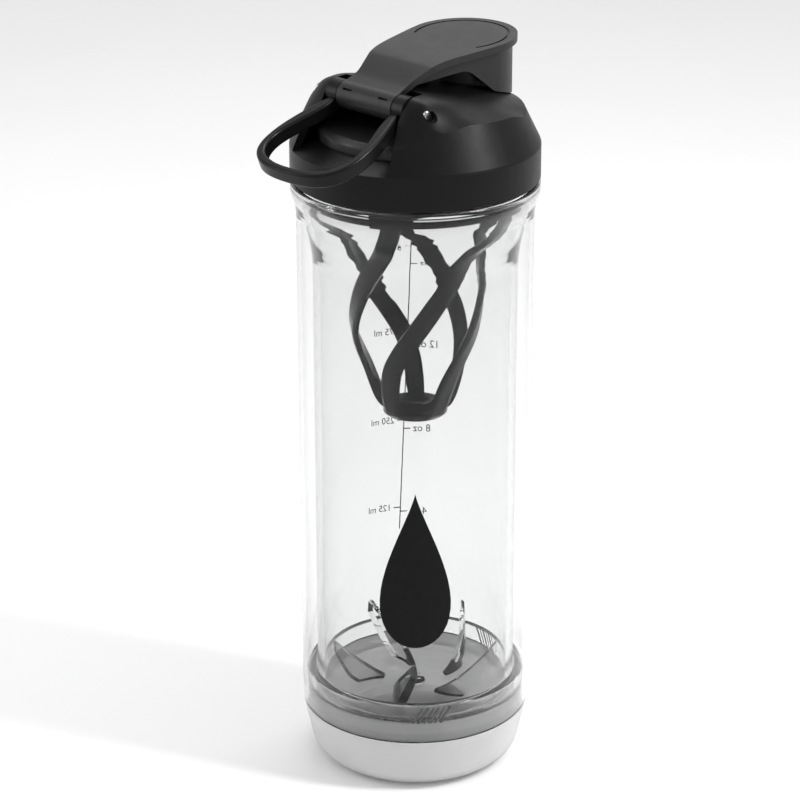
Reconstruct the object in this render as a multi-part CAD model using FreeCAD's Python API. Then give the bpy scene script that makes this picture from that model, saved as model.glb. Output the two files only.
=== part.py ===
import FreeCAD, Part
import os, math
from FreeCAD import Vector as V

# ---------------------------------------------------------------------------
# Double-wall shaker bottle with a hanging mixing insert, a screw lid, a flip
# cap over the drinking spout and a swinging carry loop.
#
# Axes: +Z up along the bottle, origin at the centre of the foot's underside.
# X is the hinge pin's direction, the spout and the cap's tip are toward +Y
# and the carry loop hangs out toward -Y.
#
# The layout below is drawn on a grid that is enlarged by GRID to give
# millimetres, so every length named here is multiplied by GRID on export.
# ---------------------------------------------------------------------------
GRID = 1.07

# bottle
R_SHELL = 39.2          # outer shell, outside
R_SHELL_IN = 37.6
R_VESSEL = 33.9         # inner vessel, outside
R_VESSEL_IN = 31.6
Z_BAND = 20.0           # top edge of the foot cup
Z_FLOOR = 25.0          # inside floor of the vessel
Z_FLARE = 180.0         # where the vessel opens toward the neck
Z_COLLAR = 207.9        # top of the clear shoulder collar
R_COLLAR = 41.0
R_NECK = 37.3           # neck, outside
R_NECK_IN = 35.1
Z_RIM = 214.5           # neck rim
THREAD_CREST = 38.25
THREAD_PITCH = 4.0
FILM_T = 0.05           # printed films

# mixing insert
Z_HUB = 127.5
R_HUB = 10.8
R_HUB_HOLE = 4.4
Z_RING = 202.0
R_RING = 34.6
STRANDS = 5
STRAND_FIRST_DEG = 43.7
STRAND_W = 6.3
STRAND_T = 2.3

# lid
R_LID = 41.0
R_LID_IN = 39.6
Z_SKIRT = 208.4
Z_CREASE = 220.2
GASKET_T = 2.0
R_DRUM = 31.8           # raised middle of the lid core, seen in the recess
Z_DRUM = 227.0
RECESS_X = 17.2         # half width of the recess between the cheeks

# hinge
PIN_Y = -19.6
PIN_Z = 237.5
PIN_R = 1.5
BARREL_R = 4.6
BARREL_X = 12.0         # half length of the cap's barrel
KNUCKLE = (12.35, 16.85)

# spout and cap
SPOUT_Y = 21.3
SPOUT_R = 9.6
SPOUT_BORE = 7.6
Z_SPOUT = 243.2
CAP_TIP_Y = 21.5        # centre of the cap's round end
CAP_TIP_R = 18.5
CAP_WALL_IN = 1.6       # set-back of the cap's wall under its flange
CAP_FLANGE = 2.3

# carry loop
LOOP_DROOP_DEG = 21.0
LOOP_TOP = 1.1          # loop's upper face above the pin axis
LOOP_H = 5.0

os.makedirs("parts", exist_ok=True)
PARTS = {}


def poly(points):
    return Part.makePolygon([V(*p) for p in points] + [V(*points[0])])


def revolve(profile):
    """Solid of revolution about Z from (radius, z) points."""
    face = Part.Face(poly([(r, 0, z) for r, z in profile]))
    return face.revolve(V(0, 0, 0), V(0, 0, 1), 360)


def cyl(r, z0, z1, x=0.0, y=0.0):
    return Part.makeCylinder(r, z1 - z0, V(x, y, z0))


def xcyl(r, x0, x1, y=PIN_Y, z=PIN_Z):
    return Part.makeCylinder(r, x1 - x0, V(x0, y, z), V(1, 0, 0))


def box(x0, x1, y0, y1, z0, z1):
    return Part.makeBox(x1 - x0, y1 - y0, z1 - z0, V(x0, y0, z0))


def arc_pts(cx, cz, r, a0, a1, n=8):
    out = []
    for i in range(n + 1):
        a = math.radians(a0 + (a1 - a0) * i / n)
        out.append((cx + r * math.cos(a), cz + r * math.sin(a)))
    return out


def pchip(xs, ys, x):
    """Monotone cubic through (xs, ys)."""
    n = len(xs)
    h = [xs[i + 1] - xs[i] for i in range(n - 1)]
    d = [(ys[i + 1] - ys[i]) / h[i] for i in range(n - 1)]
    m = [d[0]] + [0.0] * (n - 2) + [d[-1]]
    for i in range(1, n - 1):
        if d[i - 1] * d[i] > 0:
            w1, w2 = 2 * h[i] + h[i - 1], h[i] + 2 * h[i - 1]
            m[i] = (w1 + w2) / (w1 / d[i - 1] + w2 / d[i])
    if x <= xs[0]:
        return ys[0]
    if x >= xs[-1]:
        return ys[-1]
    i = max(k for k in range(n - 1) if xs[k] <= x)
    t = (x - xs[i]) / h[i]
    return (ys[i] * (2 * t ** 3 - 3 * t ** 2 + 1) + h[i] * m[i] * (t ** 3 - 2 * t ** 2 + t)
            + ys[i + 1] * (-2 * t ** 3 + 3 * t ** 2) + h[i] * m[i + 1] * (t ** 3 - t ** 2))


def fillet_some(shape, radius, test):
    edges = [e for e in shape.Edges if test(e)]
    if not edges:
        return shape
    try:
        out = shape.makeFillet(radius, edges)
        if out.isValid() and out.Volume > 0:
            return out
    except Exception:
        pass
    return shape


def put(name, shape):
    shape = shape.removeSplitter() if len(shape.Solids) == 1 else shape
    s = shape.copy()
    s.scale(GRID)
    PARTS[name] = s


# ---------------------------------------------------------------------------
# Bottle
# ---------------------------------------------------------------------------
cove = [(R_SHELL, 195.5), (39.25, 197.2), (39.5, 199.0), (39.95, 200.9),
        (40.5, 202.6), (40.85, 203.8), (R_COLLAR, 205.0)]
cove_in = [(39.35, 205.2), (39.2, 203.9), (38.7, 201.8), (38.1, 199.6),
           (37.75, 197.8), (R_SHELL_IN, 195.6)]
outer_shell = revolve(
    [(38.65, Z_BAND), (38.85, 24.0), (R_SHELL, 40.0)] + cove +
    [(R_COLLAR, 207.5), (40.6, Z_COLLAR), (R_NECK, Z_COLLAR), (R_NECK, 205.6), (39.2, 205.6)] +
    cove_in + [(R_SHELL_IN, 34.0), (37.35, 24.0), (37.25, Z_BAND)])
put("outer_shell", outer_shell)

flare_in = [(R_VESSEL_IN, Z_FLARE), (31.85, 183.0), (32.5, 186.0), (33.4, 189.5),
            (34.2, 193.0), (34.7, 196.5), (35.0, 199.5), (R_NECK_IN, 203.0)]
flare_out = [(R_NECK, 203.5), (36.9, 200.5), (36.5, 196.5), (35.9, 192.5), (35.2, 189.0),
             (34.4, 185.0), (34.0, 181.5), (R_VESSEL, 178.5)]
inner_vessel = revolve(
    [(0, Z_FLOOR - 2.0), (24.5, Z_FLOOR - 2.0)] +
    arc_pts(26.5, 30.4, 7.4, -90, 0, 8) + [(R_VESSEL, 60.0)] +
    list(reversed(flare_out)) +
    [(R_NECK, Z_RIM - 0.5), (36.8, Z_RIM), (35.6, Z_RIM), (R_NECK_IN, Z_RIM - 0.5)] +
    list(reversed(flare_in)) + [(R_VESSEL_IN, 60.0)] +
    list(reversed(arc_pts(26.4, 30.2, 5.2, -90, 0, 8))) + [(0, Z_FLOOR)])
# small domed pip where the vessel was gated, in the middle of its floor
pip = revolve([(0, Z_FLOOR - 0.3), (3.4, Z_FLOOR - 0.3), (3.2, Z_FLOOR + 0.8), (2.7, Z_FLOOR + 1.6),
               (1.6, Z_FLOOR + 2.0), (0, Z_FLOOR + 2.1)])
inner_vessel = inner_vessel.fuse(pip)
put("inner_vessel", inner_vessel)


def helix_ridge(r0, r1, z0, turns, pitch, w0, w1, start_deg):
    """Square-ended helical ridge between radii r0 and r1, built from lofts."""
    n = max(4, int(turns * 60))
    wires = []
    for i in range(n + 1):
        a = math.radians(start_deg + 360.0 * turns * i / n)
        z = z0 + pitch * turns * i / n
        c, s = math.cos(a), math.sin(a)
        pts = [(r0 * c, r0 * s, z - w0 / 2), (r1 * c, r1 * s, z - w1 / 2),
               (r1 * c, r1 * s, z + w1 / 2), (r0 * c, r0 * s, z + w0 / 2)]
        wires.append(poly(pts))
    return Part.makeLoft(wires, True, True)


neck_thread = helix_ridge(R_NECK - 0.15, THREAD_CREST, 209.6, 0.92, THREAD_PITCH, 1.9, 1.0, 20)
put("neck_thread", neck_thread)

# five curved mixing fins leaning outward from the vessel's floor
FIN_R = [11.0, 14.5, 18.5, 22.5, 26.2, 28.6]
FIN_DA = [2.0, 7.0, 14.0, 21.0, 28.0, 32.0]
FIN_TOP = [1.2, 3.6, 7.2, 11.6, 16.4, 19.8]
FIN_LOW = [-0.5, -0.5, -0.5, 2.6, 9.6, 15.2]
FIN_T = [2.4, 2.6, 2.7, 2.7, 2.5, 2.2]
fins = []
for k in range(5):
    a0 = math.radians(STRAND_FIRST_DEG + 21 + 72 * k)
    wires = []
    for i in range(19):
        r = FIN_R[0] + (FIN_R[-1] - FIN_R[0]) * i / 18.0
        da, h, low, t = (pchip(FIN_R, q, r) for q in (FIN_DA, FIN_TOP, FIN_LOW, FIN_T))
        a = a0 + math.radians(da)
        ux, uy = math.cos(a), math.sin(a)
        tx, ty = -uy, ux
        p = []
        for sx, zz in ((-t * 0.6, Z_FLOOR + low), (t * 0.6, Z_FLOOR + low), (t * 0.42, Z_FLOOR + h - 0.5),
                       (t * 0.18, Z_FLOOR + h), (-t * 0.18, Z_FLOOR + h), (-t * 0.42, Z_FLOOR + h - 0.5)):
            p.append((r * ux + sx * tx, r * uy + sx * ty, zz))
        wires.append(poly(p))
    f = Part.makeLoft(wires, True, True)
    f = f.cut(inner_vessel)
    f = max(f.Solids, key=lambda s: s.Volume)
    fins.append(f)
put("mixing_fins", Part.makeCompound(fins))

foot = [(29.4, 0.0), (29.9, 0.25), (31.4, 1.0), (33.3, 2.5), (34.5, 3.7), (35.35, 5.0), (36.1, 7.4),
        (36.65, 9.8), (37.2, 12.4), (37.85, 15.2), (38.35, 17.6), (38.65, Z_BAND)]
base_cup = revolve(
    [(0, 0.0), (22.6, 0.0), (23.0, 0.5), (24.6, 0.5), (25.0, 0.0)] + foot +
    [(37.2, Z_BAND), (37.2, 26.8), (36.8, 27.2), (34.6, 27.2), (34.6, 26.0), (34.9, 19.0),
     (34.6, 11.0), (33.4, 5.2), (31.0, 3.4), (0, 3.4)])
put("base_cup", base_cup)

# slanted gripping ribs on the foot cup's spigot, seen through the shell
lugs = []
for k in range(3):
    for j in range(5):
        a = -46.3 + 6 + 120 * k + (j - 2) * 2.6
        r = Part.makeBox(0.9, 0.9, 12.0, V(-0.45, -0.45, -6.0))
        r.rotate(V(0, 0, 0), V(1, 0, 0), -32)
        r.translate(V(36.15, 0, 27.2 + 4.9))
        r.rotate(V(0, 0, 0), V(0, 0, 1), a)
        lugs.append(r)
band = revolve([(34.5, 27.2), (37.0, 27.2), (37.0, 33.0), (36.7, 33.3), (34.5, 33.3)])
for l in lugs:
    band = band.fuse(l.common(revolve([(34.5, 27.2), (37.3, 27.2), (37.3, 33.3), (34.5, 33.3)])))
put("centring_ring", band)


def film(points_uv, r, t, az_deg, flip=1):
    """Thin film bent round the shell from closed (along, up) outlines."""
    wire = poly([(u * flip, 0, z) for u, z in points_uv])
    face = Part.Face(wire)
    prism = face.extrude(V(0, -60, 0))
    prism.rotate(V(0, 0, 0), V(0, 0, 1), az_deg + 90)
    ring = cyl(r + t, 0, 260).cut(cyl(r, -1, 261))
    return prism.common(ring)


# plain printed droplet on the front of the shell
D_W, D_LO, D_HI = 17.0, 56.0, 112.0
outline = []
for i in range(48):
    t = 2 * math.pi * i / 48
    outline.append((D_W * math.sin(t) * math.sin(t / 2) ** 1.55, D_LO + (D_HI - D_LO) * (1 + math.cos(t)) / 2))
front_mark = film(outline, R_SHELL, FILM_T, -46.3)
put("front_mark", front_mark)

# printed volume scale on the back of the shell: a line with eight ticks
def lean(z):
    """The scale's line leans a little from the vertical."""
    return 0.6 + 5.4 * (194.0 - z) / 124.0


bars = [[(lean(66.0) - 0.2, 66.0), (lean(66.0) + 0.2, 66.0), (lean(194.0) + 0.2, 194.0), (lean(194.0) - 0.2, 194.0)]]
for i, z in enumerate((72.7, 104.3, 135.8, 164.4)):
    u = lean(z)
    bars.append([(u - 2.6, z - 0.2), (u - 0.1, z - 0.2), (u - 0.1, z + 0.2), (u - 2.6, z + 0.2)])
    zm = z + 1.6 * (i + 1)
    u = lean(zm)
    bars.append([(u + 0.1, zm - 0.2), (u + 2.6, zm - 0.2), (u + 2.6, zm + 0.2), (u + 0.1, zm + 0.2)])
scale_face = None
for b in bars:
    f = Part.Face(poly([(u, 0, z) for u, z in b]))
    scale_face = f.extrude(V(0, -60, 0)) if scale_face is None else scale_face.fuse(f.extrude(V(0, -60, 0)))
scale_face.rotate(V(0, 0, 0), V(0, 0, 1), 133.7 + 90)
ring = cyl(R_SHELL + FILM_T, 41, 195).cut(cyl(R_SHELL, 40, 196))
scale_print = scale_face.common(ring)
put("scale_print", scale_print.removeSplitter())

# ---------------------------------------------------------------------------
# Mixing insert: hub plate, five twisted strands, neck ring with tabs
# ---------------------------------------------------------------------------
SZ = [127.5, 128.6, 131.5, 137.0, 142.0, 148.0, 156.0, 163.0, 169.0, 177.0, 184.0, 187.5, 191.0, 194.5, 198.0, 202.4]
SR = [9.6, 11.2, 12.9, 14.9, 16.4, 18.3, 20.3, 21.2, 21.8, 22.6, 23.4, 25.0, 28.2, 31.0, 32.3, 32.7]
SA = [-3.0, -1.5, 0.5, 3.0, 7.0, 14.0, 27.0, 39.5, 50.0, 63.5, 76.0, 82.0, 87.5, 91.0, 93.5, 95.0]


def strand_point(t):
    ks = list(range(len(SZ)))
    return pchip(ks, SR, t), pchip(ks, SA, t), pchip(ks, SZ, t)


def strand(first_deg):
    wires = []
    n = 30
    for i in range(n + 1):
        t = (len(SZ) - 1) * i / n

        def xyz(tt):
            r, a, z = strand_point(tt)
            a = math.radians(first_deg + a)
            return V(r * math.cos(a), r * math.sin(a), z)
        p = xyz(t)
        lo, hi = max(0.0, t - 0.05), min(len(SZ) - 1.0, t + 0.05)
        tan = (xyz(hi) - xyz(lo)).normalize()
        dr = (strand_point(hi)[0] - strand_point(lo)[0])
        dz = (strand_point(hi)[2] - strand_point(lo)[2])
        L = math.hypot(dr, dz)
        a = math.radians(first_deg + strand_point(t)[1])
        er = V(math.cos(a), math.sin(a), 0)
        nrm = (er * (dz / L) - V(0, 0, 1) * (dr / L))
        nrm = (nrm - tan * nrm.dot(tan)).normalize()
        bi = tan.cross(nrm).normalize()
        w, th = STRAND_W, STRAND_T
        if t < 2.0:
            w = STRAND_W * (0.80 + 0.10 * t)
        pts = []
        for u, q in ((-0.5, -0.30), (-0.5, 0.30), (-0.36, 0.5), (0.36, 0.5), (0.5, 0.30), (0.5, -0.30), (0.36, -0.5), (-0.36, -0.5)):
            v = p + bi * (w * u) + nrm * (th * q)
            pts.append((v.x, v.y, v.z))
        wires.append(poly(pts))
    return Part.makeLoft(wires, True, False)


strands = [strand(STRAND_FIRST_DEG + 90.0 - 72.0 * k) for k in range(STRANDS)]
hub = revolve([(R_HUB_HOLE + 0.4, 126.2), (R_HUB - 0.6, 126.2), (R_HUB, 126.8), (R_HUB, 128.4), (R_HUB - 0.6, 128.9),
               (R_HUB_HOLE + 0.4, 128.9), (R_HUB_HOLE, 128.5), (R_HUB_HOLE, 126.6)])
lip = revolve([(R_HUB_HOLE, 128.5), (R_HUB_HOLE + 1.6, 128.5), (R_HUB_HOLE + 1.5, 130.4), (R_HUB_HOLE + 0.3, 130.4)])
hub = hub.fuse(lip)
ring = revolve([(32.2, Z_RING), (R_RING - 0.5, Z_RING), (R_RING, Z_RING + 0.5), (R_RING, Z_RING + 1.9),
                (R_RING - 0.4, Z_RING + 2.4), (32.4, Z_RING + 2.4), (32.2, Z_RING + 2.2)])
for k in range(STRANDS):
    a = STRAND_FIRST_DEG + 90.0 - 72.0 * k + 95.0
    tab = box(30.6, 34.4, -6.5, 6.5, Z_RING - 0.5, Z_RING + 5.0).common(
        cyl(R_RING, 190, 220).cut(cyl(31.0, 189, 221)))
    tab.rotate(V(0, 0, 0), V(0, 0, 1), a)
    ring = ring.fuse(tab)
hub_ring = hub.fuse(ring)
cut_strands = []
for s in strands:
    c = s.cut(hub).cut(ring)
    cut_strands.append(max(c.Solids, key=lambda q: q.Volume))
put("insert_hub", hub)
put("insert_strands", Part.makeCompound(cut_strands))
put("insert_ring", ring)

# ---------------------------------------------------------------------------
# Lid
# ---------------------------------------------------------------------------
gasket = revolve([(34.6, Z_RIM), (37.0, Z_RIM), (37.3, Z_RIM + 0.3), (37.3, Z_RIM + GASKET_T - 0.3),
                  (37.0, Z_RIM + GASKET_T), (34.6, Z_RIM + GASKET_T), (34.3, Z_RIM + GASKET_T - 0.3),
                  (34.3, Z_RIM + 0.3)])
put("lid_gasket", gasket)

ZC = Z_RIM + GASKET_T
core = revolve([(R_LID_IN, ZC), (R_LID_IN, ZC + 1.5), (R_DRUM, ZC + 1.9), (R_DRUM, Z_DRUM - 2.4)] +
               arc_pts(R_DRUM - 2.4, Z_DRUM - 2.4, 2.4, 0, 90, 6) +
               [(0, Z_DRUM), (0, Z_DRUM - 2.0), (R_DRUM - 3.4, Z_DRUM - 2.0), (R_DRUM - 2.0, Z_DRUM - 3.4),
                (R_DRUM - 2.0, ZC)])
core = core.cut(cyl(SPOUT_BORE, 220, 232, 0, SPOUT_Y))
put("lid_core", core)

prof = [(SPOUT_R, Z_DRUM), (SPOUT_R, Z_SPOUT - 1.6), (SPOUT_R + 0.5, Z_SPOUT - 1.0), (SPOUT_R + 0.4, Z_SPOUT - 0.3),
        (SPOUT_R - 0.2, Z_SPOUT), (SPOUT_BORE + 0.5, Z_SPOUT), (SPOUT_BORE, Z_SPOUT - 0.6), (SPOUT_BORE, Z_DRUM)]
spout = revolve(prof)
spout.translate(V(0, SPOUT_Y, 0))
put("spout", spout)

# crowned top of the lid as a height field over (x, y)
XS = [0, 10, 17, 20, 22.5, 25, 28, 31, 34, 38, 46]
FIELD = [
    (-46, [222, 222, 221, 220, 219.5, 219, 218, 217, 216, 214, 210]),
    (-36, [226.6, 226.6, 226.5, 225.6, 225.0, 224.2, 223, 221.5, 220, 217.5, 213]),
    (-32, [228.6, 228.6, 228.3, 227.7, 226.9, 225.8, 224.2, 222.4, 220.5, 218, 213]),
    (-29, [231.0, 231.0, 230.5, 229.6, 228.7, 227.4, 225.4, 223.2, 221, 218.3, 213.5]),
    (-26.5, [234.6, 234.6, 234.0, 232.6, 231.3, 229.9, 227.4, 224.6, 222, 219, 214]),
    (-24.5, [237.9, 237.9, 237.4, 236.2, 234.3, 232.1, 229.2, 226.0, 223, 219.6, 214.5]),
    (-22, [240.5, 240.5, 240.3, 239.6, 238.0, 235.5, 231.9, 228.2, 224.8, 221, 216]),
    (-19.5, [241.8, 241.8, 241.7, 241.2, 240.1, 238.0, 234.1, 230.2, 226.6, 222.4, 217]),
    (-15, [242.1, 242.1, 242.0, 241.6, 240.7, 239.0, 236.2, 233.4, 230.4, 226.4, 221]),
    (-10, [241.7, 241.6, 241.4, 241.0, 240.3, 239.1, 237.1, 235.2, 233.1, 230, 225]),
    (-4, [240.7, 240.5, 240.2, 239.8, 239.2, 238.3, 236.9, 235.4, 233.8, 231.5, 227.5]),
    (2, [239.7, 239.5, 239.1, 238.7, 238.1, 237.4, 236.3, 235.0, 233.6, 231.6, 228]),
    (10, [238.4, 238.2, 237.7, 237.2, 236.6, 235.9, 234.8, 233.6, 232.4, 230.4, 227]),
    (20, [236.5, 236.2, 235.4, 234.7, 233.9, 233.0, 231.5, 229.9, 228.2, 226, 222]),
    (28, [234.3, 233.8, 232.8, 232.0, 231.0, 229.9, 228.3, 226.5, 224.7, 222.2, 218]),
    (36, [231.0, 230.5, 229.3, 228.3, 227.3, 226.1, 224.4, 222.5, 220.6, 218, 214]),
    (46, [226.0, 225.5, 224.2, 223.2, 222.0, 220.8, 219, 217, 215, 212.5, 209]),
]
YROWS = [r[0] for r in FIELD]
GX = [-46, -40, -36, -33, -30, -27.5, -25, -22.5, -20, -17, -12, -6, 0, 6, 12, 17, 20, 22.5, 25, 27.5, 30, 33, 36, 40, 46]
GY = [-46, -40, -36, -33.5, -31, -29, -27.5, -26, -24.5, -23, -21.5, -19.5, -17, -14, -10, -5, 0, 6, 12, 18, 24, 30, 36, 41, 46]


def top_z(x, y):
    cols = [pchip(XS, row[1], abs(x)) for row in FIELD]
    return pchip(YROWS, cols, y)


def field_solid(dz):
    rows = [[V(x, y, top_z(x, y) + dz) for y in GY] for x in GX]
    surf = Part.BSplineSurface()
    surf.interpolate(rows)
    face = surf.toShape()
    s = face.extrude(V(0, 0, -70))
    return s.Solids[0] if s.Solids else Part.Solid(Part.Shell(s.Faces))


field = field_solid(0.0)
field_in = field_solid(-2.2)
body = revolve([(0, Z_SKIRT), (R_LID - 0.5, Z_SKIRT), (R_LID, Z_SKIRT + 0.5), (R_LID, Z_CREASE - 0.3), (R_LID - 0.25, Z_CREASE + 0.5),
                (34.6, 233.4), (32.2, 238.2), (29.6, 243.4), (0, 243.4)])
cover = body.common(field)
hollow = revolve([(0, 200), (R_LID_IN, 200), (R_LID_IN, 218.0), (38.2, 220.6), (32.4, 232.4), (28.5, 240.5), (0, 240.5)]).common(field_in)
# the cheeks stay solid round the pin
for sx in (-1, 1):
    x0, x1 = (RECESS_X - 0.2, 33.0) if sx > 0 else (-33.0, -RECESS_X + 0.2)
    hollow = hollow.cut(box(x0, x1, -45, -13.0, 229.0, 250))
cover = cover.cut(hollow)
# recess between the cheeks, opening outward for the loop
plan = Part.Face(poly([(-RECESS_X, -14.4, 0), (-RECESS_X, -26.0, 0), (-20.8, -33.0, 0), (-22.6, -46.0, 0),
                       (22.6, -46.0, 0), (20.8, -33.0, 0), (RECESS_X, -26.0, 0), (RECESS_X, -14.4, 0)]))
recess = plan.extrude(V(0, 0, 60))
recess.translate(V(0, 0, 205))
floor_cut = revolve([(0, 205), (R_LID_IN, 205), (R_LID_IN, 217.5), (32.2, 220.6), (32.2, 222.7), (40.3, 220.1), (45, 218.6), (45, 260), (0, 260)])
cover = cover.cut(recess.common(floor_cut))
floor = revolve([(32.2, 220.6), (32.2, 222.7), (40.3, 220.1), (R_LID - 0.25, 219.7), (R_LID, 219.2), (R_LID, 217.2), (R_LID_IN - 0.1, 217.2), (R_LID_IN - 0.1, 217.9)])
plan2 = Part.Face(poly([(-RECESS_X - 0.6, -14.0, 0), (-RECESS_X - 0.6, -25.5, 0), (-21.4, -33.0, 0), (-23.4, -46.0, 0),
                        (23.4, -46.0, 0), (21.4, -33.0, 0), (RECESS_X + 0.6, -25.5, 0), (RECESS_X + 0.6, -14.0, 0)]))
p2 = plan2.extrude(V(0, 0, 60))
p2.translate(V(0, 0, 205))
cover = cover.fuse(floor.common(p2))
# inner lips of the cheeks down to the core, spout hole and pin bores
cover = cover.cut(cyl(SPOUT_R + 0.7, 225, 250, 0, SPOUT_Y))
cover = cover.cut(xcyl(PIN_R + 0.02, -40, 40))
for s in (1, -1):
    cb = xcyl(1.95, 24.6, 40) if s > 0 else xcyl(1.95, -40, -24.6)
    cover = cover.cut(cb)
cover = cover.cut(core)
cover = max(cover.Solids, key=lambda s: s.Volume)
put("lid_cover", cover)

lid_thread = helix_ridge(R_LID_IN + 0.15, 38.65, 211.2, 0.75, THREAD_PITCH, 1.7, 1.0, 200)
put("lid_thread", lid_thread)

pin = xcyl(PIN_R, -24.3, 24.3)
pin = fillet_some(pin, 0.4, lambda e: True)
put("hinge_pin", pin)

# ---------------------------------------------------------------------------
# Flip cap
# ---------------------------------------------------------------------------
CAP_Y = [-20.5, -16.0, -14.2, -11.7, -8.9, -6.2, -1.4, 4.2, 10.4, 16.3, CAP_TIP_Y]
CAP_W = [12.0, 11.5, 11.6, 12.3, 13.2, 14.0, 14.9, 15.9, 17.0, 17.95, CAP_TIP_R]
TOP_Y = [-30, -20.5, -16.0, -11.7, -8.9, -6.2, -1.4, 4.2, 10.4, 16.3, 21.6, 29.7, 45.0]
TOP_Z = [238.0, 241.9, 243.6, 245.9, 247.4, 248.7, 249.8, 250.35, 250.75, 251.15, 251.5, 251.95, 252.6]
LOW_Y = [-30, -15.0, -11.0, 0.0, 7.0, 9.5, 12.3, 15.6, 19.5, 23.0, 26.0, 45.0]
LOW_Z = [240.2, 241.0, 242.9, 244.2, 244.6, 243.9, 241.9, 239.2, 236.1, 233.2, 231.0, 225.0]


def cap_outline(off, y0=-20.5):
    right = []
    n = 22
    for i in range(n):
        y = y0 + (CAP_TIP_Y - y0) * i / n
        right.append((pchip(CAP_Y, CAP_W, y) - off, y))
    m = 14
    for i in range(m + 1):
        a = math.radians(90.0 * i / m)
        right.append(((CAP_TIP_R - off) * math.cos(a), CAP_TIP_Y + (CAP_TIP_R - off) * math.sin(a)))
    left = [(-x, y) for x, y in right[:-1]]
    edges = []
    half = [V(x, y, 0) for x, y in right]
    other = [V(x, y, 0) for x, y in reversed(left)]
    c = Part.BSplineCurve()
    c.interpolate(half + other)
    e = c.toShape()
    return Part.Face(Part.Wire([e, Part.makeLine(V(left[0][0], left[0][1], 0), V(right[0][0], right[0][1], 0))]))


def prism(face, z0, z1):
    p = face.extrude(V(0, 0, z1 - z0))
    p.translate(V(0, 0, z0))
    return p


def side_band(top_off, low_kind):
    """YZ band between the cap's top line (lowered by top_off) and a lower line, extruded along X."""
    ys = [-20.5 + i * 1.25 for i in range(52)]
    ys = [y for y in ys if y < 44.5] + [44.5]
    top = [V(-60, y, pchip(TOP_Y, TOP_Z, y) - top_off) for y in ys]
    if low_kind == "flange":
        low = [V(-60, y, pchip(TOP_Y, TOP_Z, y) - top_off - CAP_FLANGE) for y in ys]
    elif low_kind == "deep":
        low = [V(-60, y, 215.0) for y in ys]
    else:
        low = [V(-60, y, pchip(LOW_Y, LOW_Z, y)) for y in ys]
    c1 = Part.BSplineCurve(); c1.interpolate(top)
    c2 = Part.BSplineCurve(); c2.interpolate(low)
    w = Part.Wire([c1.toShape(), Part.makeLine(top[-1], low[-1]), c2.toShape(), Part.makeLine(low[0], top[0])])
    return Part.Face(w).extrude(V(120, 0, 0))


plate = prism(cap_outline(0.0), 215, 262).common(side_band(0.0, "flange"))
wall = prism(cap_outline(CAP_WALL_IN), 215, 262).common(side_band(1.0, "wall"))
void = prism(cap_outline(CAP_WALL_IN + 1.5, -13.0), 210, 262).common(side_band(CAP_FLANGE + 0.1, "deep"))
wall = wall.cut(void)
deck_guard = field_solid(0.45)
wall = wall.cut(deck_guard)
cap = plate.fuse(wall)
barrel = xcyl(BARREL_R, -BARREL_X, BARREL_X)
cap = cap.fuse(barrel)
# relief round the barrel so that the cap's web clears the recess edge
cap = cap.cut(xcyl(PIN_R + 0.06, -30, 30))
# rim groove on the round end, two small detent slots on the barrel
gro = cyl(16.0, -0.45, 6).cut(cyl(15.1, -1, 7))
gro = gro.cut(box(-30, 30, -40, -7.5, -2, 8))
gro.rotate(V(0, 0, 0), V(1, 0, 0), 3.6)
gro.translate(V(0, CAP_TIP_Y, 251.47))
cap = cap.cut(gro)
for sx in (-7.9, 7.9):
    slot = box(sx - 2.0, sx + 2.0, PIN_Y - 4.6, PIN_Y - 2.6, PIN_Z + 2.6, PIN_Z + 3.2)
    cap = cap.cut(slot)
cap = max(cap.Solids, key=lambda s: s.Volume)
put("flip_cap", cap)

seal = revolve([(0, 239.6), (6.3, 239.6), (6.9, 240.3), (7.15, 244.6), (8.7, 245.0), (8.9, 245.6), (8.9, 248.0), (0, 248.0)])
seal.translate(V(0, SPOUT_Y, 0))
inner_face = side_band(CAP_FLANGE + 0.02, "deep")
seal = revolve([(0, 239.6), (6.3, 239.6), (6.9, 240.3), (7.15, 244.2), (8.7, 244.4), (8.9, 245.0), (8.9, 255.0), (0, 255.0)])
seal.translate(V(0, SPOUT_Y, 0))
seal = seal.common(inner_face).cut(cap)
seal = max(seal.Solids, key=lambda s: s.Volume)
put("cap_seal", seal)

# ---------------------------------------------------------------------------
# Carry loop
# ---------------------------------------------------------------------------
L_IN = [(12.35, 0.0), (12.45, 4.0), (12.9, 9.0), (14.1, 13.7), (15.6, 18.2), (17.0, 23.0), (17.6, 27.0), (17.2, 30.8),
        (16.0, 33.8), (13.9, 36.3), (10.8, 38.1), (6.8, 39.3), (0.0, 39.8)]
L_OUT = [(15.1, 0.0), (15.5, 4.2), (17.0, 9.2), (18.6, 14.6), (19.8, 20.0), (20.4, 25.0), (20.3, 29.4), (19.6, 33.0),
         (18.3, 35.9), (16.0, 38.5), (12.7, 40.6), (7.8, 42.0), (0.0, 42.5)]


def loop_face():
    def curve(pts):
        full = [V(x, -s, 0) for x, s in pts] + [V(-x, -s, 0) for x, s in reversed(pts[:-1])]
        c = Part.BSplineCurve()
        c.interpolate(full)
        return c.toShape()
    w = Part.Wire([curve(L_OUT), Part.makeLine(V(-15.1, 0, 0), V(-12.35, 0, 0)), curve(L_IN),
                   Part.makeLine(V(12.35, 0, 0), V(15.1, 0, 0))])
    return Part.Face(w)


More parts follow.
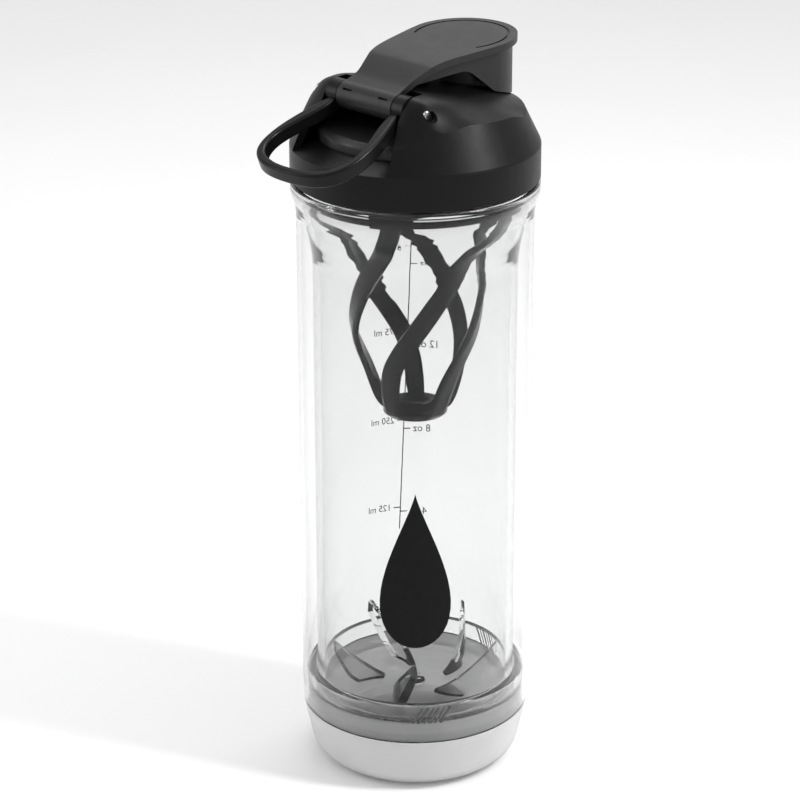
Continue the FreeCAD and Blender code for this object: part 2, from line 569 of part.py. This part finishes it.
loop = loop_face().extrude(V(0, 0, LOOP_H))
loop.translate(V(0, 0, LOOP_TOP - LOOP_H))
loop = fillet_some(loop, 0.9, lambda e: e.Length > 60)
loop.rotate(V(0, 0, 0), V(1, 0, 0), LOOP_DROOP_DEG)
loop.translate(V(0, PIN_Y, PIN_Z))
for s in (1, -1):
    k0, k1 = (KNUCKLE[0], KNUCKLE[1]) if s > 0 else (-KNUCKLE[1], -KNUCKLE[0])
    loop = loop.fuse(xcyl(BARREL_R - 0.1, k0, k1))
loop = loop.cut(xcyl(PIN_R + 0.06, -30, 30))
put("carry_loop", loop)

for name, shape in PARTS.items():
    shape.exportStep("parts/%s.step" % name)
    bb = shape.BoundBox
    print("%-15s solids %2d valid %s vol %9.1f  x %.1f..%.1f y %.1f..%.1f z %.1f..%.1f" % (
        name, len(shape.Solids), shape.isValid(), shape.Volume, bb.XMin, bb.XMax, bb.YMin, bb.YMax, bb.ZMin, bb.ZMax))
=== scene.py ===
import bpy, bmesh, math, random
from mathutils import Vector, Matrix


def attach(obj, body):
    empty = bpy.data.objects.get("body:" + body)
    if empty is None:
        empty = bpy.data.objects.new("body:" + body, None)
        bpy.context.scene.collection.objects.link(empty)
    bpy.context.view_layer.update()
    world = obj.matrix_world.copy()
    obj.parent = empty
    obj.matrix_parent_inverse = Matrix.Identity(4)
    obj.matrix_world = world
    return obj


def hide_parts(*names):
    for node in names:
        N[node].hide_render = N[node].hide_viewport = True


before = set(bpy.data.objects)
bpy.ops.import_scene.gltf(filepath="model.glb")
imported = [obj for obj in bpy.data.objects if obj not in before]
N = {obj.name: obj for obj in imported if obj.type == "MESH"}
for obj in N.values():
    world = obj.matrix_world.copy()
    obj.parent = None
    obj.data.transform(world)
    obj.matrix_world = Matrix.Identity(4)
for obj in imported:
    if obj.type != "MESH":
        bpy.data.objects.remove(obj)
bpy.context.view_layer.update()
K = 0.00107            # layout grid to metres, as in the CAD
R_SHELL = 39.2 * K


# ---------------------------------------------------------------- materials
def new_mat(name):
    m = bpy.data.materials.new(name)
    m.use_nodes = True
    nt = m.node_tree
    return m, nt, nt.nodes["Principled BSDF"]


def coords(nt, scale=(1, 1, 1)):
    tc = nt.nodes.new("ShaderNodeTexCoord")
    mp = nt.nodes.new("ShaderNodeMapping")
    mp.inputs["Scale"].default_value = scale
    nt.links.new(tc.outputs["Object"], mp.inputs["Vector"])
    return mp.outputs["Vector"]


def noise(nt, vec, scale, detail=3.0, rough=0.5):
    n = nt.nodes.new("ShaderNodeTexNoise")
    n.inputs["Scale"].default_value = scale
    n.inputs["Detail"].default_value = detail
    n.inputs["Roughness"].default_value = rough
    nt.links.new(vec, n.inputs["Vector"])
    return n.outputs["Fac"]


def ramp(nt, fac, stops):
    r = nt.nodes.new("ShaderNodeValToRGB")
    el = r.color_ramp.elements
    while len(el) < len(stops):
        el.new(0.5)
    for e, (p, c) in zip(el, stops):
        e.position = p
        e.color = (c, c, c, 1) if isinstance(c, (int, float)) else (*c, 1)
    nt.links.new(fac, r.inputs["Fac"])
    return r.outputs["Color"]


def bump(nt, height, strength, distance, normal=None):
    b = nt.nodes.new("ShaderNodeBump")
    b.inputs["Strength"].default_value = strength
    b.inputs["Distance"].default_value = distance
    nt.links.new(height, b.inputs["Height"])
    if normal is not None:
        nt.links.new(normal, b.inputs["Normal"])
    return b.outputs["Normal"]


def edge_wear(nt, col, amount, tint):
    """Lightens convex edges a little, from the surface's pointiness."""
    g = nt.nodes.new("ShaderNodeNewGeometry")
    r = ramp(nt, g.outputs["Pointiness"], [(0.50, 0.0), (0.56, 1.0)])
    mul = nt.nodes.new("ShaderNodeMath"); mul.operation = "MULTIPLY"
    nt.links.new(r, mul.inputs[0]); mul.inputs[1].default_value = amount
    mix = nt.nodes.new("ShaderNodeMix"); mix.data_type = "RGBA"
    nt.links.new(mul.outputs[0], mix.inputs["Factor"])
    nt.links.new(col, mix.inputs["A"])
    mix.inputs["B"].default_value = (*tint, 1)
    return mix.outputs["Result"]


def black_plastic(name, base, rough_lo, rough_hi, grain, grain_dist, scale=2600.0, spec=0.5, wear=0.35):
    m, nt, p = new_mat(name)
    v = coords(nt)
    big = noise(nt, v, 38.0, 4.0, 0.55)
    col = ramp(nt, big, [(0.30, tuple(c * 0.86 for c in base)), (0.72, tuple(c * 1.18 for c in base))])
    nt.links.new(edge_wear(nt, col, wear, tuple(min(1, c * 2.4) for c in base)), p.inputs["Base Color"])
    mid = noise(nt, v, 160.0, 5.0, 0.6)
    nt.links.new(ramp(nt, mid, [(0.25, rough_lo), (0.75, rough_hi)]), p.inputs["Roughness"])
    fine = noise(nt, v, scale, 2.0, 0.6)
    nt.links.new(bump(nt, fine, grain, grain_dist), p.inputs["Normal"])
    p.inputs["Specular IOR Level"].default_value = spec
    return m


def clear_plastic(name, tint, rough_lo, rough_hi, ior=1.54, wave=0.0, trans=1.0, glare=1.0, painted_edge_shade=0.35):
    m, nt, p = new_mat(name)
    p.inputs["Specular Tint"].default_value = (glare, glare, glare, 1)
    v = coords(nt)
    p.inputs["Transmission Weight"].default_value = trans
    p.inputs["IOR"].default_value = ior
    haze = noise(nt, v, 22.0, 4.0, 0.55)
    hz = ramp(nt, haze, [(0.3, tuple(c * 0.985 for c in tint)), (0.7, tint)])
    # Painted shade: the Layer Weight facing ramp darkens the base colour towards grazing angles, so the clear walls
    # read darker near their silhouettes.
    lw = nt.nodes.new("ShaderNodeLayerWeight")
    lw.inputs["Blend"].default_value = 0.5
    edge_shade_col = ramp(nt, lw.outputs["Facing"], [(0.0, 1.0), (0.62, 0.985), (0.86, 1.0 - painted_edge_shade * 0.45), (1.0, 1.0 - painted_edge_shade)])
    mx = nt.nodes.new("ShaderNodeMix"); mx.data_type = "RGBA"; mx.blend_type = "MULTIPLY"
    mx.inputs["Factor"].default_value = 1.0
    nt.links.new(hz, mx.inputs["A"]); nt.links.new(edge_shade_col, mx.inputs["B"])
    nt.links.new(mx.outputs["Result"], p.inputs["Base Color"])
    scuff = noise(nt, coords(nt, (1, 1, 0.25)), 140.0, 6.0, 0.65)
    nt.links.new(ramp(nt, scuff, [(0.55, rough_lo), (0.80, rough_hi)]), p.inputs["Roughness"])
    if wave:
        w = noise(nt, coords(nt, (1, 1, 0.35)), 30.0, 1.0, 0.4)
        nt.links.new(bump(nt, w, wave, 0.0006), p.inputs["Normal"])
    return m


M = {
    "clear": clear_plastic("shell_clear", (0.925, 0.928, 0.928), 0.006, 0.028, wave=0.04, glare=0.16, painted_edge_shade=0.50),
    "clear_in": clear_plastic("vessel_clear", (0.935, 0.938, 0.938), 0.006, 0.028, wave=0.05, glare=0.16, painted_edge_shade=0.32),
    "fin": clear_plastic("fin_clear", (0.988, 0.989, 0.989), 0.02, 0.06, wave=0.10, glare=0.9, painted_edge_shade=0.14),
    "frost": None,
    "smoke": clear_plastic("ring_smoke", (0.985, 0.986, 0.986), 0.03, 0.08, wave=0.10, glare=0.8, painted_edge_shade=0.14),
    "lid": black_plastic("lid_black", (0.0024, 0.0024, 0.0026), 0.34, 0.44, 0.25, 0.00010, 2400.0, spec=0.16, wear=0.2),
    # Painted light: the lid core and spout get a base colour several times lighter than the lid cover, so the shelf in
    # the recess under the hinge reads as lit.
    "core": black_plastic("core_black_painted_lit", (0.016, 0.016, 0.0165), 0.34, 0.44, 0.18, 0.0001, 1800.0, spec=0.40),
    "cap": black_plastic("cap_black", (0.0085, 0.0085, 0.009), 0.36, 0.46, 0.26, 0.00010, 2600.0, spec=0.34),
    "loop": black_plastic("loop_black", (0.0030, 0.0030, 0.0033), 0.26, 0.36, 0.16, 0.0001, 1900.0, spec=0.16, wear=0.5),
    "insert": black_plastic("insert_black", (0.0025, 0.0025, 0.0028), 0.12, 0.22, 0.10, 0.00015, 260.0, spec=0.20, wear=0.5),
    "rubber": black_plastic("seal_rubber", (0.070, 0.070, 0.074), 0.62, 0.78, 0.35, 0.00015, 900.0, spec=0.35),
}


def ink():
    m, nt, p = new_mat("ink_black")
    v = coords(nt)
    n = noise(nt, v, 420.0, 5.0, 0.6)
    nt.links.new(ramp(nt, n, [(0.30, (0.002, 0.002, 0.002)), (0.75, (0.005, 0.005, 0.0055))]), p.inputs["Base Color"])
    nt.links.new(ramp(nt, noise(nt, v, 90.0, 4.0), [(0.3, 0.30), (0.7, 0.46)]), p.inputs["Roughness"])
    nt.links.new(bump(nt, n, 0.12, 0.00005), p.inputs["Normal"])
    p.inputs["Specular IOR Level"].default_value = 0.12
    return m


def steel():
    m, nt, p = new_mat("pin_steel")
    v = coords(nt, (40, 1, 1))
    n = noise(nt, v, 500.0, 4.0, 0.6)
    nt.links.new(ramp(nt, n, [(0.3, (0.30, 0.30, 0.31)), (0.7, (0.46, 0.46, 0.47))]), p.inputs["Base Color"])
    p.inputs["Metallic"].default_value = 1.0
    nt.links.new(ramp(nt, n, [(0.3, 0.18), (0.7, 0.32)]), p.inputs["Roughness"])
    nt.links.new(bump(nt, n, 0.10, 0.00005), p.inputs["Normal"])
    return m


def frosted():
    """Milky foot: bright body, a smokier strip where it plugs into the shell."""
    m, nt, p = new_mat("foot_frosted")
    v = coords(nt)
    sep = nt.nodes.new("ShaderNodeSeparateXYZ")
    nt.links.new(v, sep.inputs[0])
    mr = nt.nodes.new("ShaderNodeMapRange")
    mr.inputs["From Min"].default_value = 0.0
    mr.inputs["From Max"].default_value = 0.030
    nt.links.new(sep.outputs["Z"], mr.inputs["Value"])
    strip = ramp(nt, mr.outputs["Result"], [(0.0, 0.86), (0.14, 0.93), (0.700, 0.94), (0.735, 0.80), (0.80, 0.84), (0.83, 0.96)])
    mot = ramp(nt, noise(nt, v, 70.0, 5.0, 0.6), [(0.3, 0.94), (0.7, 1.0)])
    mul = nt.nodes.new("ShaderNodeMix"); mul.data_type = "RGBA"; mul.blend_type = "MULTIPLY"
    mul.inputs["Factor"].default_value = 1.0
    nt.links.new(strip, mul.inputs["A"]); nt.links.new(mot, mul.inputs["B"])
    nt.links.new(mul.outputs["Result"], p.inputs["Base Color"])
    nt.links.new(ramp(nt, noise(nt, v, 300.0, 3.0), [(0.3, 0.30), (0.7, 0.42)]), p.inputs["Roughness"])
    p.inputs["Transmission Weight"].default_value = 0.55
    p.inputs["IOR"].default_value = 1.45
    nt.links.new(bump(nt, noise(nt, v, 900.0, 2.0), 0.12, 0.00008), p.inputs["Normal"])
    return m


M["frost"] = frosted()
M["ink"] = ink()
M["steel"] = steel()

ASSIGN = {
    "outer_shell": "clear", "inner_vessel": "clear_in", "neck_thread": "clear_in", "mixing_fins": "fin",
    "base_cup": "frost", "centring_ring": "smoke", "front_mark": "ink", "scale_print": "ink",
    "insert_hub": "insert", "insert_strands": "insert", "insert_ring": "insert", "lid_gasket": "rubber",
    "lid_core": "core", "spout": "core", "lid_cover": "lid", "lid_thread": "lid", "hinge_pin": "steel",
    "flip_cap": "cap", "cap_seal": "rubber", "carry_loop": "loop",
}
for node, mat in ASSIGN.items():
    o = N[node]
    if not o.data.materials:
        o.data.materials.append(M[mat])
    for i in range(len(o.data.materials)):
        o.data.materials[i] = M[mat]


# ------------------------------------------------ smooth walls of the bottle
def pchip(xs, ys, x):
    n = len(xs)
    h = [xs[i + 1] - xs[i] for i in range(n - 1)]
    d = [(ys[i + 1] - ys[i]) / h[i] for i in range(n - 1)]
    m = [d[0]] + [0.0] * (n - 2) + [d[-1]]
    for i in range(1, n - 1):
        if d[i - 1] * d[i] > 0:
            w1, w2 = 2 * h[i] + h[i - 1], h[i] + 2 * h[i - 1]
            m[i] = (w1 + w2) / (w1 / d[i - 1] + w2 / d[i])
    if x <= xs[0]:
        return ys[0]
    if x >= xs[-1]:
        return ys[-1]
    i = max(k for k in range(n - 1) if xs[k] <= x)
    t = (x - xs[i]) / h[i]
    return (ys[i] * (2 * t ** 3 - 3 * t ** 2 + 1) + h[i] * m[i] * (t ** 3 - 2 * t ** 2 + t)
            + ys[i + 1] * (-2 * t ** 3 + 3 * t ** 2) + h[i] * m[i + 1] * (t ** 3 - t ** 2))


def wall(rz, z0, z1, step=0.5):
    """Points along a wall from z0 to z1, smooth through the (r, z) table."""
    t = sorted((z, r) for r, z in rz)
    zs, rs = [q[0] for q in t], [q[1] for q in t]
    n = max(2, int(abs(z1 - z0) / step))
    return [(pchip(zs, rs, z0 + (z1 - z0) * i / n), z0 + (z1 - z0) * i / n) for i in range(n + 1)]


def arc(cx, cz, r, a0, a1, n):
    return [(cx + r * math.cos(math.radians(a0 + (a1 - a0) * i / n)),
             cz + r * math.sin(math.radians(a0 + (a1 - a0) * i / n))) for i in range(n + 1)]


def lathe(name, profile, mat, segs=256, sharp=34):
    """Closed body of revolution from (r, z) points in layout units; r = 0 points close on the axis."""
    bm = bmesh.new()
    rings = []
    for r, z in profile:
        if r < 1e-6:
            rings.append([bm.verts.new((0, 0, z * K))])
        else:
            rings.append([bm.verts.new((r * K * math.cos(2 * math.pi * k / segs), r * K * math.sin(2 * math.pi * k / segs), z * K))
                          for k in range(segs)])
    n = len(rings)
    closed = len(rings[0]) > 1 or len(rings[-1]) > 1
    for i in range(n if closed else n - 1):
        a, b = rings[i], rings[(i + 1) % n]
        for k in range(segs):
            k2 = (k + 1) % segs
            if len(a) == 1 and len(b) == 1:
                break
            if len(a) == 1:
                bm.faces.new((a[0], b[k2], b[k]))
            elif len(b) == 1:
                bm.faces.new((a[k], a[k2], b[0]))
            else:
                bm.faces.new((a[k], a[k2], b[k2], b[k]))
    bmesh.ops.recalc_face_normals(bm, faces=bm.faces[:])
    for f in bm.faces:
        f.smooth = True
    lim = math.radians(sharp)
    for e in bm.edges:
        if len(e.link_faces) == 2 and e.calc_face_angle(0) > lim:
            e.smooth = False
    me = bpy.data.meshes.new(name)
    bm.to_mesh(me); bm.free()
    me.materials.append(mat)
    o = bpy.data.objects.new(name, me)
    bpy.context.scene.collection.objects.link(o)
    return o


OUT = [(38.65, 20.0), (38.85, 24.0), (39.2, 40.0), (39.2, 195.5), (39.25, 197.2), (39.5, 199.0), (39.95, 200.9),
       (40.5, 202.6), (40.85, 203.8), (41.0, 205.0), (41.0, 207.2)]
COVE = [(37.25, 20.0), (37.35, 24.0), (37.6, 34.0), (37.6, 195.6), (37.75, 197.8), (38.1, 199.6), (38.7, 201.8),
        (39.2, 203.9), (39.3, 205.2)]
shell_prof = (wall(OUT, 20.0, 40.0, 1.0) + wall(OUT, 44.0, 194.0, 10.0) + wall(OUT, 195.0, 207.2, 0.4) +
              [(40.9, 207.6), (40.6, 207.9), (37.36, 207.9), (37.36, 205.9), (38.9, 205.8)] +
              wall(COVE, 205.0, 195.0, 0.4) + wall(COVE, 190.0, 38.0, 10.0) + wall(COVE, 34.0, 20.0, 1.0))
shell = lathe("shell_wall", shell_prof, M["clear"])
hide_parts("outer_shell"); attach(shell, "bottle")

FI = [(31.6, 60.0), (31.6, 178.0), (31.64, 180.0), (31.95, 183.0), (32.55, 186.0), (33.4, 189.5), (34.15, 193.0), (34.7, 196.5), (35.0, 199.5),
      (35.1, 203.0), (35.1, 214.0)]
FO = [(33.9, 60.0), (33.9, 176.5), (33.93, 178.5), (34.08, 181.5), (34.5, 185.0), (35.2, 189.0), (35.9, 192.5), (36.5, 196.5),
      (36.95, 200.5), (37.28, 204.0), (37.28, 213.9)]
vessel_prof = ([(0, 23.0), (12, 23.0), (24.5, 23.0)] + arc(26.5, 30.4, 7.4, -88, 0, 22) + wall(FO, 40.0, 170.0, 10.0) +
               wall(FO, 174.0, 206.0, 0.4) + [(37.28, 213.9), (37.15, 214.3), (36.8, 214.5), (35.6, 214.5), (35.25, 214.3), (35.1, 214.0)] +
               wall(FI, 206.0, 174.0, 0.4) + wall(FI, 170.0, 40.0, 10.0) + arc(26.4, 30.2, 5.2, 0, -90, 18) +
               [(22.0, 25.0), (12.0, 25.0), (5.0, 25.0), (3.7, 25.0), (3.35, 25.25), (3.2, 25.8), (2.7, 26.6), (1.6, 27.0), (0.8, 27.08), (0, 27.1)])
vessel = lathe("vessel_wall", vessel_prof, M["clear_in"])
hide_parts("inner_vessel"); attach(vessel, "bottle")


def slanted_ribs(name, az_deg, count, mat):
    """Group of slanted ribs on the plug between the foot and the shell."""
    bm = bmesh.new()
    for j in range(count):
        base = az_deg + (j - (count - 1) / 2) * 2.9
        wid = 1.05 if j % 2 else 0.62
        rows = []
        for i in range(15):
            t = i / 14.0
            z = 20.6 + 12.0 * t
            sh = 9.0 * (t ** 1.25)
            ring_v = []
            for off, rr in ((-wid / 2, 37.03), (-wid / 4, 37.16), (wid / 4, 37.16), (wid / 2, 37.03)):
                a = math.radians(base + sh) + off / 37.1
                ring_v.append(bm.verts.new((rr * K * math.cos(a), rr * K * math.sin(a), z * K)))
            rows.append(ring_v)
        for a, b in zip(rows, rows[1:]):
            for k in range(4):
                k2 = (k + 1) % 4
                bm.faces.new((a[k], a[k2], b[k2], b[k]))
        bm.faces.new(rows[0]); bm.faces.new(list(reversed(rows[-1])))
    bmesh.ops.recalc_face_normals(bm, faces=bm.faces[:])
    for f in bm.faces:
        f.smooth = True
    me = bpy.data.meshes.new(name); bm.to_mesh(me); bm.free()
    me.materials.append(mat)
    o = bpy.data.objects.new(name, me)
    bpy.context.scene.collection.objects.link(o)
    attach(o, "bottle")
    return o


M["rib"] = clear_plastic("rib_smoke", (0.20, 0.20, 0.205), 0.14, 0.24, wave=0.1, trans=0.25, glare=0.6)
for g in range(3):
    slanted_ribs("slant_ribs_%d" % g, -46.3 + 2.0 + 120 * g, 6, M["rib"])


# ------------------------------------------------------ numerals on the scale
AZ = math.radians(133.7)


def lean(z):
    return 0.6 + 5.4 * (194.0 - z) / 124.0


def label(name, text, u0, z, size, right):
    """A short printed label wrapped round the shell; u runs to the right seen from outside."""
    cu = bpy.data.curves.new(name, "FONT")
    cu.body = text
    cu.size = size * K
    cu.align_x = "RIGHT" if right else "LEFT"
    cu.align_y = "CENTER"
    cu.resolution_u = 4
    tmp = bpy.data.objects.new(name + "_t", cu)
    bpy.context.scene.collection.objects.link(tmp)
    bpy.context.view_layer.update()
    me = bpy.data.meshes.new_from_object(tmp)
    bpy.data.objects.remove(tmp)
    bm = bmesh.new(); bm.from_mesh(me)
    bmesh.ops.triangulate(bm, faces=bm.faces[:])
    r = R_SHELL + 0.00004
    ext = bmesh.ops.extrude_face_region(bm, geom=bm.faces[:])
    top = {v for v in ext["geom"] if isinstance(v, bmesh.types.BMVert)}
    for v in bm.verts:
        u = v.co.x + u0 * K
        zz = v.co.y + z * K
        a = AZ + u / R_SHELL
        rr = r + (0.00005 if v in top else 0.0)
        v.co = (rr * math.cos(a), rr * math.sin(a), zz)
    bmesh.ops.recalc_face_normals(bm, faces=bm.faces[:])
    bm.to_mesh(me); bm.free()
    me.materials.clear(); me.materials.append(M["ink"])
    o = bpy.data.objects.new(name, me)
    bpy.context.scene.collection.objects.link(o)
    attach(o, "bottle")
    return o


for i, z in enumerate((72.7, 104.3, 135.8, 164.4)):
    label("scale_oz_%d" % i, "%d oz" % (4 * (i + 1)), lean(z) - 3.6, z, 3.9, True)
    zm = z + 1.6 * (i + 1)
    label("scale_ml_%d" % i, "%d ml" % (125 * (i + 1)), lean(zm) + 3.6, zm, 3.5, False)

# --------------------------------------------------------------------- stage
def plane(name, size, z):
    bm = bmesh.new()
    bmesh.ops.create_grid(bm, x_segments=4, y_segments=4, size=size)
    me = bpy.data.meshes.new(name); bm.to_mesh(me); bm.free()
    o = bpy.data.objects.new(name, me)
    o.location = (0, 0, z)
    bpy.context.scene.collection.objects.link(o)
    return o


floor = plane("floor", 6.0, -0.0002)
fm, fnt, fp = new_mat("floor_white")
fv = coords(fnt)
fnt.links.new(ramp(fnt, noise(fnt, fv, 6.0, 3.0), [(0.3, 0.93), (0.7, 0.95)]), fp.inputs["Base Color"])
fp.inputs["Roughness"].default_value = 0.75
floor.data.materials.append(fm)

world = bpy.data.worlds.new("world")
bpy.context.scene.world = world
world.use_nodes = True
bg = world.node_tree.nodes["Background"]
bg.inputs["Color"].default_value = (1, 1, 1, 1)
bg.inputs["Strength"].default_value = 0.76


def area(name, loc, target, sx, sy, power):
    l = bpy.data.lights.new(name, "AREA")
    l.shape = "RECTANGLE"; l.size = sx; l.size_y = sy; l.energy = power
    o = bpy.data.objects.new(name, l)
    o.location = loc
    d = Vector(target) - Vector(loc)
    o.rotation_euler = d.to_track_quat("-Z", "Y").to_euler()
    bpy.context.scene.collection.objects.link(o)
    return o


A = math.radians(43.7)
right = Vector((math.cos(A), math.sin(A), 0))
away = Vector((-math.sin(A), math.cos(A), 0))


def at(r, a, z):
    return tuple(right * r + away * a + Vector((0, 0, z)))


area("key_right", at(0.50, -0.20, 0.66), (0, 0, 0.22), 0.12, 0.34, 4.2)
area("fill_left", at(-0.80, -0.05, 0.50), (0, 0, 0.18), 0.12, 0.60, 1.2)
area("top_back", at(0.10, 0.45, 0.95), (0, 0, 0.22), 0.6, 0.35, 2.7)

cam = bpy.data.cameras.new("cam")
co = bpy.data.objects.new("cam", cam)
bpy.context.scene.collection.objects.link(co)
co.location = (0.6934, -0.7256, 0.5382)
co.rotation_euler = (math.radians(68.28), 0, math.radians(43.7))
cam.lens = 135.2
cam.sensor_width = 36.0
cam.shift_x = -0.0191
cam.shift_y = 0.0
cam.clip_start = 0.01
bpy.context.scene.camera = co
bpy.context.scene.view_settings.view_transform = "Standard"
